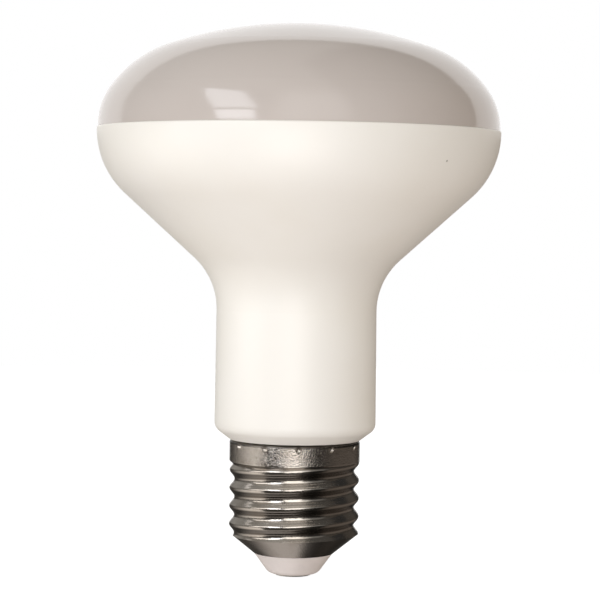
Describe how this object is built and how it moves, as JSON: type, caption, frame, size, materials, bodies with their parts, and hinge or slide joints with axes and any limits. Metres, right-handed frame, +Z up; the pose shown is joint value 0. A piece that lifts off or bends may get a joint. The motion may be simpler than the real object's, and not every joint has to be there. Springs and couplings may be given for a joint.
{
  "type": "reflector bulb",
  "caption": "LED reflector bulb: a domed diffuser over a flared white housing, on a nickel screw cap with a centre contact.",
  "frame": {"origin": "middle of the centre contact's outer face, at the foot of the cap", "axes": "+Z up the lamp's axis from the contact to the crown of the diffuser; +X to the right and -Y to the front as the picture shows it"},
  "size_m": [0.0806, 0.0806, 0.1103],
  "materials": {
    "diffuser_plastic": "glossy, milky",
    "housing_plastic": "satin",
    "nickel_sheet": "bright nickel, lightly drawn",
    "insulator_body": "matt",
    "contact_metal": "dull",
    "pressed_aluminium": "mill",
    "white_board": "solder mask",
    "phosphor": "silicone",
    "plated_steel": "plated",
    "board_laminate": "solder mask",
    "capacitor_sleeve": "shrink sleeve",
    "ferrite": "fired",
    "winding_tape": "polyester tape",
    "black_moulding": "moulded",
    "resistor_body": "lacquer",
    "red_insulation": "wire insulation",
    "white_insulation": "wire insulation",
    "black_insulation": "wire insulation"
  },
  "bodies": {
    "root": {"diffuser": "diffuser_plastic", "housing": "housing_plastic", "screw_shell": "nickel_sheet", "insulator": "insulator_body", "contact_pin": "contact_metal", "heat_sink": "pressed_aluminium", "led_board": "white_board", "led_chips": "phosphor", "board_screws": "plated_steel", "driver_board": "board_laminate", "smoothing_capacitor": "capacitor_sleeve", "transformer_core": "ferrite", "transformer_winding": "winding_tape", "bridge_rectifier": "black_moulding", "driver_chip": "black_moulding", "fuse_resistor": "resistor_body", "live_lead": "red_insulation", "neutral_lead": "white_insulation", "positive_lead": "red_insulation", "negative_lead": "black_insulation"}
  },
  "joints": []
}
